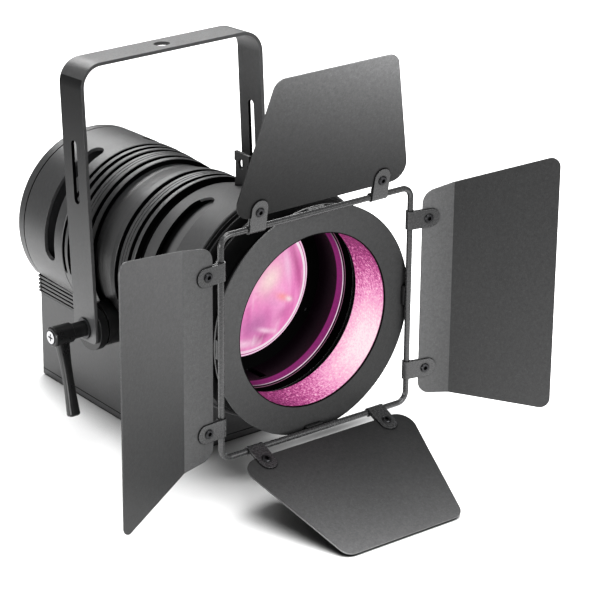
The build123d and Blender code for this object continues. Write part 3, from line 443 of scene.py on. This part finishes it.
def neck_mat():
    """Painted inner wall of the barn-door neck with the lens light painted in as a glow: almost white-pink where the
    beam grazes it, grainy magenta away from it.
    """
    m = Mat("neck_wall_lit")
    o = m.xyz()
    grain = m.noise(520.0, 2.0, 0.85, seed=3.1)
    mid = m.noise(260.0, 2.0, 0.6, seed=5.0)
    k = m.bearing(GLOW_SIDE)
    k = m.math("SUBTRACT", k, m.remap(o[1], st(26.0), st(44.0), 0.0, 0.10, True))
    weight = m.remap(k, 0.35, 0.95, 1.0, 0.10)
    k = m.math("SUBTRACT", k, m.remap(o[1], st(5.7), st(7.6), 0.55, 0.0, True))
    k = m.math("SUBTRACT", k, m.math("MULTIPLY", weight, 0.05))
    k = m.math("ADD", k, m.math("MULTIPLY", m.math("SUBTRACT", grain, 0.5), m.math("MULTIPLY", weight, 3.2)))
    k = m.math("ADD", k, m.math("MULTIPLY", m.math("SUBTRACT", mid, 0.5), m.math("MULTIPLY", weight, 0.35)))
    c = m.ramp(m.remap(k, -0.2, 1.0, 0.0, 1.0), [(0.02, rgb(0.090, 0.006, 0.045)), (0.49, rgb(0.30, 0.034, 0.16)), (0.667, rgb(0.52, 0.085, 0.28)),
                                                (0.833, rgb(0.87, 0.30, 0.56)), (0.94, rgb(0.955, 0.54, 0.70)), (1.0, rgb(0.985, 0.79, 0.84))])
    m.set(color=rgb(0.03, 0.02, 0.026), rough=m.remap(grain, 0.3, 0.7, 0.4, 0.6), spec=0.25, emit=c, emit_strength=m.math("MULTIPLY", m.seen(0.4), 1.04),
          normal=m.bump(grain, 0.0002, 0.5))
    return m.m


def baffle_rim_mat():
    """Front bevel of the baffle tube: a violet band with two fine turned lines, the light of the lens they catch
    painted in as a glow.
    """
    m = Mat("baffle_front_rim")
    r = m.radius()
    fine = m.noise(600.0, 2.0, 0.6, seed=4.4)
    k = m.remap(m.bearing(GLOW_SIDE), -0.10, 0.75, 0.0, 1.0, True)
    o = m.xyz()
    band = m.math("MULTIPLY", m.remap(o[1], st(66.4), st(67.6), 1.0, 0.0, True), m.remap(r, 0.0751, 0.0754, 1.0, 0.0, True))
    line1 = m.math("MULTIPLY", m.remap(r, 0.0752, 0.0754, 0.0, 1.0, True), m.remap(r, 0.0757, 0.0759, 1.0, 0.0, True))
    line2 = m.math("MULTIPLY", m.remap(r, 0.0767, 0.0769, 0.0, 1.0, True), m.remap(r, 0.0771, 0.0773, 1.0, 0.0, True))
    c = m.mix(m.math("MULTIPLY", band, k), rgb(0.0013, 0.0002, 0.0009), rgb(0.24, 0.018, 0.145))
    c = m.mix(m.math("MULTIPLY", line1, m.math("MULTIPLY", k, m.remap(m.bearing(-38.0), 0.2, 0.95, 0.25, 1.0, True))), c, rgb(1.0, 0.72, 0.90))
    c = m.mix(m.math("MULTIPLY", line2, m.math("MULTIPLY", k, 0.55)), c, rgb(0.72, 0.30, 0.50))
    m.set(color=rgb(0.002, 0.001, 0.002), rough=m.remap(fine, 0.3, 0.7, 0.3, 0.5), spec=0.15, emit=m.scale_colour(c, m.remap(fine, 0.3, 0.7, 0.85, 1.15)),
          emit_strength=m.math("MULTIPLY", m.seen(0.4), 0.9), normal=m.bump(fine, 0.00005, 0.4))
    return m.m


def led_mat():
    m = Mat("led_emitters")
    cell = m.voronoi(420.0)
    c = m.ramp(cell, [(0.0, rgb(1.0, 0.7, 0.9)), (0.5, rgb(1.0, 0.3, 0.7)), (1.0, rgb(0.5, 0.1, 0.35))])
    m.set(color=rgb(0.2, 0.05, 0.15), rough=m.remap(cell, 0.0, 1.0, 0.1, 0.4), emit=c, emit_strength=1.2, normal=m.bump(cell, 0.0001, 0.4))
    return m.m


# painted shade: a near-black copy of the powder coat, with strong edge highlights, for the rear of the ring, the
# accessory holder and the safety eye
powder_dark = powder_coat("powder_coat_shaded", (0.0085, 0.0085, 0.0088), rough=0.38, grain=0.7, edge_highlight=9.0, bevel=0.0006, spec=0.35)


def gill_mat():
    """Sloped gill floor: painted near its front edge, with painted shade falling to black where it dives behind the
    rear edge of the opening.
    """
    m = Mat("gill_paint_and_shade")
    o = m.xyz()
    fine = m.noise(1500.0, 2.0, 0.6, seed=0.3)
    # painted shade: dark towards the rear edge, in a thin line at the front edge and in creases
    k = m.remap(o[1], st(106.0), st(116.5), 1.0, 0.0, True)
    k = m.math("MULTIPLY", k, m.remap(o[1], st(91.6), st(92.8), 0.04, 1.0, True))
    k = m.math("ADD", 0.02, m.math("MULTIPLY", k, 0.98))
    shade = m.math("MULTIPLY", k, m.math("ADD", 1.0, m.math("MULTIPLY", m.math("SUBTRACT", fine, 0.5), 0.7)))
    shade = m.math("MULTIPLY", shade, m.crease(0.0035, lo=0.35, hi=0.75, dark=0.15))
    m.set(color=m.scale_colour((0.088, 0.0884, 0.0895), shade), rough=0.42, spec=m.math("MULTIPLY", k, 0.5), normal=m.bump(fine, 0.00018, 0.5))
    return m.m


gill_paint_and_shade = gill_mat()
EXTRA = []
WORLD = 0.15
rubber = rubber_mat()
board = board_mat()
display = display_mat()
lens_glow = lens_mat()
neck_wall = neck_mat()
baffle_rim = baffle_rim_mat()
led = led_mat()

ASSIGN = {
    "front_shell": powder_nose, "mid_shell": powder_body, "rear_shell": powder_rear, "rear_cap": powder_rear, "base_box": powder_base, "base_plate": powder_base,
    "base_pad": rubber, "inner_liner": black_and_painted_shade, "gill_deflector": gill_paint_and_shade, "baffle_tube": baffle_black, "guide_rods": steel, "lens_carriage": baffle_black,
    "lens": lens_glow, "lens_ring": baffle_black, "zoom_knob": plastic_knob, "reflector": aluminium, "led_board": aluminium, "led_array": led, "heat_sink": black_and_painted_shade,
    "fan_frame": plastic_knob, "fan_rotor": plastic_knob, "power_board": board, "control_board": board, "rear_panel": powder_sheet, "display_window": display,
    "menu_button_1": plastic_button, "menu_button_2": plastic_button, "menu_button_3": plastic_button, "menu_button_4": plastic_button,
    "data_inlet": nickel, "data_outlet": nickel, "power_inlet": plastic_blue, "power_outlet": plastic_grey, "case_screws": steel,
    "accessory_holder": powder_dark, "accessory_latch": powder_sheet, "safety_eye": powder_dark, "pivot_bosses": plastic_black, "friction_discs": plastic_black,
    "yoke": powder_yoke, "clamp_washer_left": dark_rivet, "clamp_washer_right": dark_rivet, "clamp_stud_left": dark_rivet, "clamp_stud_right": dark_rivet,
    "clamp_lever_left": plastic_black, "clamp_lever_right": plastic_black, "clamp_spring_left": steel, "clamp_spring_right": steel,
    "clamp_screw_left": chrome, "clamp_screw_right": chrome, "barndoor_ring": sheet_ring, "rod_frame": powder_rod,
    "flap_top": sheet_top, "flap_bottom": sheet_bottom, "flap_left": sheet_left_near, "flap_right": sheet_right_near,
    "hinge_clips_top": powder_rod, "hinge_clips_bottom": powder_rod, "hinge_clips_left": powder_rod, "hinge_clips_right": powder_rod,
}
for name, mat in ASSIGN.items():
    me = NODES[name].data
    me.materials.clear()
    me.materials.append(mat)
missing = sorted(set(NODES) - set(ASSIGN))
if missing:
    raise RuntimeError(f"no material for {missing}")


def paint_faces(node, mat, test):
    """Gives the faces of a CAD node that pass the test another material; the mesh itself stays as it is."""
    me = NODES[node].data
    me.materials.append(mat)
    k = len(me.materials) - 1
    for p in me.polygons:
        c = p.center
        if test(c, p.normal, math.hypot(c.x, c.z - AXIS_Z)):
            p.material_index = k


def inward(c, n):
    return n.x * c.x + n.z * (c.z - AXIS_Z) < 0


# painted shade: walls of slots, grooves, recesses and seam gaps and inward faces of the shells get the near-black
# material
paint_faces("front_shell", black_and_painted_shade, lambda c, n, r: (r < 0.0802 and c.y < st(63)) or (c.y > st(54) and (n.x * c.x + n.z * (c.z - AXIS_Z)) / r < -0.25) or (abs(n.y) > 0.75 and st(88) < c.y < st(123)))
paint_faces("mid_shell", black_and_painted_shade, lambda c, n, r: r < 0.0708 or (abs(n.y) > 0.9 and r < 0.0791) or (r < 0.0745 and c.y < st(148.6)))
paint_faces("rear_shell", black_and_painted_shade, lambda c, n, r: (r < 0.0750 and inward(c, n) and abs(c.x) < 0.058) or (abs(n.y) > 0.9 and r < 0.0785 and c.y < st(255)))
paint_faces("rear_cap", black_and_painted_shade, lambda c, n, r: (n.y < -0.5 and c.y < st(326.5) and r < 0.0725) or (r < 0.0765 and c.y < st(317.45)))
# painted shade: the rear side of the ring gets the near-black copy
paint_faces("barndoor_ring", powder_dark, lambda c, n, r: c.y > st(5.8) and not inward(c, n))
paint_faces("barndoor_ring", neck_wall, lambda c, n, r: c.y > st(5.75) and r < 0.0750 and inward(c, n) and abs(n.y) < 0.5)
# painted shade: the bore wall of the ring gets near-black paint
paint_faces("barndoor_ring", black_edge, lambda c, n, r: c.y < st(5.8) and r < 0.0790 and abs(n.y) < 0.5)
paint_faces("baffle_tube", baffle_rim, lambda c, n, r: r > 0.0733 and (n.y < -0.2 or inward(c, n)))
# painted shade: the walls of the slots in the yoke legs get the near-black material
paint_faces("yoke", black_and_painted_shade, lambda c, n, r: abs(n.x) < 0.3 and 0.19 < c.z < 0.27 and abs(c.y - (-0.0163 - (c.z - 0.0953) * 0.0646 * -1)) < 0.0052)

# rivet heads of the hinge clips
FLAPS = {"top": (Vector((0, ROD, AXIS_Z + 0.095)), Vector((1, 0, 0)), 9.6, (-62.0, 60.0)),
         "bottom": (Vector((0, ROD, AXIS_Z - 0.095)), Vector((-1, 0, 0)), 67.0, (-62.0, 62.0)),
         "left": (Vector((-0.095, ROD, AXIS_Z)), Vector((0, 0, 1)), 3.1, (-66.5, 66.5)),
         "right": (Vector((0.095, ROD, AXIS_Z)), Vector((0, 0, -1)), 11.0, (-66.5, 66.5))}


def flap_frame(kind):
    """Origin on the rod, direction along the rod, direction across the flap, and outward normal."""
    o, x, ang, us = FLAPS[kind]
    a = math.radians(ang)
    sn, cs = math.sin(a), math.cos(a)
    z = {"top": Vector((0, -cs, -sn)), "bottom": Vector((0, -cs, sn)), "left": Vector((sn, -cs, 0)), "right": Vector((-sn, -cs, 0))}[kind]
    return o, x, z.cross(x), z


# painted light: the outer part of each side flap gets its own copy of the sheet paint with a different light gradient
for kind, outer in (("left", sheet_left_outer), ("right", sheet_right_outer)):
    o, x, y, z = flap_frame(kind)
    paint_faces("flap_" + kind, outer, lambda c, n, r, o=o, y=y: (c - o).dot(y) > 0.0398)
# painted light and shade: the outer faces of the yoke legs get the darker yoke copy
paint_faces("yoke", yoke_side, lambda c, n, r: n.x < -0.9 and c.x < -0.09)

for kind in FLAPS:
    o, x, y, z = flap_frame(kind)
    spots = [o + x * (u / 1000.0) + y * 0.0156 for u in FLAPS[kind][3]]

    def near(c, n, r, spots=spots, z=z):
        for p in spots:
            d = c - p
            if (d - z * d.dot(z)).length < 0.00385 and d.dot(z) > 0.00375:
                return True
        return False

    def socket(c, n, r, spots=spots, z=z):
        for p in spots:
            d = c - p
            if (d - z * d.dot(z)).length < 0.00178 and 0.0038 < d.dot(z) < 0.0051:
                return True
        return False

    paint_faces("hinge_clips_" + kind, dark_rivet, near)
    # painted shade: the rivet sockets get the near-black material
    paint_faces("hinge_clips_" + kind, black_and_painted_shade, socket)

# clamp springs: copies of the coils, each with a mesh of its own, carried by the studs
for side, sign in (("left", -1), ("right", 1)):
    src = NODES["clamp_spring_" + side]
    coil = bpy.data.objects.new("spring_coil_" + side, src.data.copy())
    SCENE.collection.objects.link(coil)
    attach(coil, "stud_" + side)
    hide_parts("clamp_spring_" + side)
    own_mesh(coil)
    EXTRA.append(coil)

# ------------------------------------------------------------------ floor, light, camera
def plane(name, size, z):
    me = bpy.data.meshes.new(name)
    s = size / 2
    me.from_pydata([(-s, -s, z), (s, -s, z), (s, s, z), (-s, s, z)], [], [(0, 1, 2, 3)])
    o = bpy.data.objects.new(name, me)
    SCENE.collection.objects.link(o)
    return o


floor = plane("floor", 14.0, 0.0)
fm = Mat("studio_floor")
fo = fm.xyz()
fx = fm.math("SUBTRACT", fo[0], 0.0)
fy = fm.math("SUBTRACT", fo[1], 0.02)
fd = fm.math("SQRT", fm.math("ADD", fm.math("MULTIPLY", fx, fx), fm.math("MULTIPLY", fy, fy)))
f_lp = fm.t.nodes.new("ShaderNodeLightPath")
table = fm.remap(fd, 0.30, 0.95, 0.73, 0.10, True)        # the pale table is lit near the lamp and falls off beyond it
tone = fm.math("MAXIMUM", f_lp.outputs["Is Camera Ray"], table)
tone = fm.math("MULTIPLY", tone, fm.crease(0.057, lo=0.23, hi=0.82, dark=0.075, samples=16))    # tight contact shadow
for px, py, wx, wy, depth in ((0.000, -0.100, 0.060, 0.026, 0.62), (0.075, -0.141, 0.090, 0.015, 0.87)):
    gx = fm.math("MULTIPLY", fm.math("SUBTRACT", fo[0], px), 1.0 / wx)                           # shade pooled under the ring and the lower rod
    gy = fm.math("MULTIPLY", fm.math("SUBTRACT", fo[1], py), 1.0 / wy)
    pool = fm.math("EXPONENT", fm.math("MULTIPLY", fm.math("ADD", fm.math("MULTIPLY", gx, gx), fm.math("MULTIPLY", gy, gy)), -1.0))
    tone = fm.math("MULTIPLY", tone, fm.math("SUBTRACT", 1.0, fm.math("MULTIPLY", pool, depth)))
fm.set(color=fm.scale_colour((0.94, 0.94, 0.94), fm.math("MULTIPLY", tone, fm.remap(fm.noise(3.0, 3.0, 0.5), 0.3, 0.7, 0.995, 1.0))), rough=0.9, spec=0.0)
floor.data.materials.append(fm.m)

world = bpy.data.worlds.new("studio")
SCENE.world = world
world.use_nodes = True
wt = world.node_tree
wt.nodes.clear()
w_out = wt.nodes.new("ShaderNodeOutputWorld")
w_mix = wt.nodes.new("ShaderNodeMixShader")
w_lp = wt.nodes.new("ShaderNodeLightPath")
w_cam = wt.nodes.new("ShaderNodeBackground")
w_env = wt.nodes.new("ShaderNodeBackground")
w_cam.inputs[0].default_value = rgb(1, 1, 1)
w_cam.inputs[1].default_value = 1.0
w_env.inputs[0].default_value = rgb(1, 1, 1)
w_env.inputs[1].default_value = WORLD
wt.links.new(w_lp.outputs["Is Camera Ray"], w_mix.inputs[0])
wt.links.new(w_env.outputs[0], w_mix.inputs[1])
wt.links.new(w_cam.outputs[0], w_mix.inputs[2])
wt.links.new(w_mix.outputs[0], w_out.inputs[0])


def group(name, objects):
    c = bpy.data.collections.new(name)
    for o in objects:
        c.objects.link(o)
    return c


lamp_only = group("lamp_receivers", list(NODES.values()) + EXTRA)
floor_only = group("floor_receiver", [floor])


def area(name, loc, target, size, power, colour=(1, 1, 1), size_y=None, shape="RECTANGLE", receivers=None, glossy=True):
    d = bpy.data.lights.new(name, "AREA")
    d.shape = shape
    d.size = size
    if shape in ("RECTANGLE", "ELLIPSE"):
        d.size_y = size_y or size
    d.energy = power
    d.color = colour
    o = bpy.data.objects.new(name, d)
    SCENE.collection.objects.link(o)
    o.location = loc
    o.rotation_mode = "QUATERNION"
    o.rotation_quaternion = (Vector(target) - Vector(loc)).to_track_quat("-Z", "Y")
    o.visible_camera = False
    o.visible_glossy = glossy
    o.light_linking.receiver_collection = receivers or lamp_only
    return o


# the floor has a soft sun of its own, from the upper right rear
sun = bpy.data.lights.new("floor_sun", "SUN")
sun.energy = 9.0
sun.angle = math.radians(84)
sun_o = bpy.data.objects.new("floor_sun", sun)
SCENE.collection.objects.link(sun_o)
sun_o.rotation_mode = "QUATERNION"
sun_o.rotation_quaternion = Vector((-0.25, 0.05, -1.0)).to_track_quat("-Z", "Y")
sun_o.light_linking.receiver_collection = floor_only

AIM = (0.0, -0.05, 0.15)
area("rear_softbox", (0.45, 1.15, 1.00), (0.0, 0.0, 0.2), 1.1, 11.0, size_y=0.40)
area("top_softbox", (-0.15, -0.1, 1.5), AIM, 0.8, 12.0)
area("front_fill", (0.35, -1.9, 0.8), AIM, 1.2, 22.0, size_y=0.8)
area("left_fill", (-1.5, -0.35, 0.22), (0.0, 0.0, 0.10), 0.9, 16.0, size_y=0.35)
area("glint", (-0.25, -0.95, 1.25), (0.0, -0.2, 0.15), 0.16, 2.2)

# pink light leaving the lens: it reaches only the mouth of the lamp
mouth = group("lamp_mouth", [NODES[n] for n in ("baffle_tube", "lens_carriage", "lens_ring")])
glow = area("lens_light", (0.0, st(77.6), AXIS_Z), (0.0, -1.0, AXIS_Z), 0.104, 0.16, colour=(1.0, 0.16, 0.50), shape="DISK", receivers=mouth)

cam_data = bpy.data.cameras.new("camera")
cam = bpy.data.objects.new("camera", cam_data)
SCENE.collection.objects.link(cam)
SCENE.camera = cam
cam_data.sensor_width = 36.0
cam_data.lens = 2697.8 / 600.0 * 36.0
cam_data.clip_start, cam_data.clip_end = 0.05, 50.0
yaw, pitch, roll = math.radians(-37.77), math.radians(22.47), math.radians(0.51)
back = Vector((math.sin(yaw) * math.cos(pitch), -math.cos(yaw) * math.cos(pitch), math.sin(pitch)))
right = Vector((math.cos(yaw), math.sin(yaw), 0.0))
up = back.cross(right)
right2 = right * math.cos(roll) + up * math.sin(roll)
up2 = up * math.cos(roll) - right * math.sin(roll)
rot = Matrix((right2, up2, back)).transposed()
cam.matrix_world = Matrix.Translation(Vector((-1.2325, -1.7838, 0.9893))) @ rot.to_4x4()

SCENE.view_settings.view_transform = "Standard"
SCENE.view_settings.look = "None"
SCENE.view_settings.exposure = 0.0
SCENE.view_settings.gamma = 1.0
SCENE.cycles.use_denoising = True
SCENE.cycles.max_bounces = 6
SCENE.cycles.sample_clamp_indirect = 4.0
